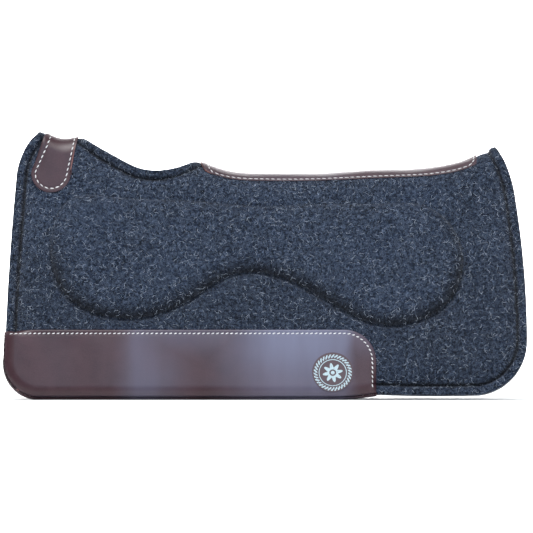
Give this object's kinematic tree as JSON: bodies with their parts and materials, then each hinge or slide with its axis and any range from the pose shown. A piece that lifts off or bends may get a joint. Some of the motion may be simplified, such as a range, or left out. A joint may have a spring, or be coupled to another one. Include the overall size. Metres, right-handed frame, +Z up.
{
  "type": "saddle pad",
  "caption": "Contoured felt saddle pad with raised bar panels, wither relief opening, leather spine cover, wither strap and stitched leather wear guards.",
  "frame": {"origin": "on the floor, at the middle of the pad's length and width", "axes": "+X towards the horse's tail, -Y the near (left) side, +Z up"},
  "size_m": [0.789, 0.3004, 0.4041],
  "materials": {
    "felt": "matte",
    "felt_inner": "matte",
    "foam": "matte",
    "leather": "satin",
    "thread": "matte",
    "dark_thread": "matte",
    "badge": "satin",
    "lining": "matte"
  },
  "bodies": {
    "off_side": {"off_top_felt": "felt", "off_bottom_felt": "felt_inner", "off_core_foam": "foam", "off_bar_pad": "foam", "off_wear_leather": "leather", "off_wear_leather_thread": "thread", "off_perimeter_thread": "dark_thread", "off_bar_pad_thread": "dark_thread", "off_emblem": "badge", "wither_strap": "leather", "wither_strap_thread": "thread", "spine_leather": "leather", "spine_leather_thread": "thread", "spine_lining": "lining"},
    "near_side": {"near_top_felt": "felt", "near_bottom_felt": "felt_inner", "near_core_foam": "foam", "near_bar_pad": "foam", "near_wear_leather": "leather", "near_wear_leather_thread": "thread", "near_perimeter_thread": "dark_thread", "near_bar_pad_thread": "dark_thread", "near_emblem": "badge"}
  },
  "joints": [
    {"name": "spine_fold", "type": "hinge", "parent": "off_side", "child": "near_side", "pos_m": [0, 0, 0.3695], "axis": [0.9986, 0, -0.052], "range_deg": [-64, 24], "deforming": ["wither_strap", "wither_strap_thread", "spine_leather", "spine_leather_thread", "spine_lining"]}
  ]
}
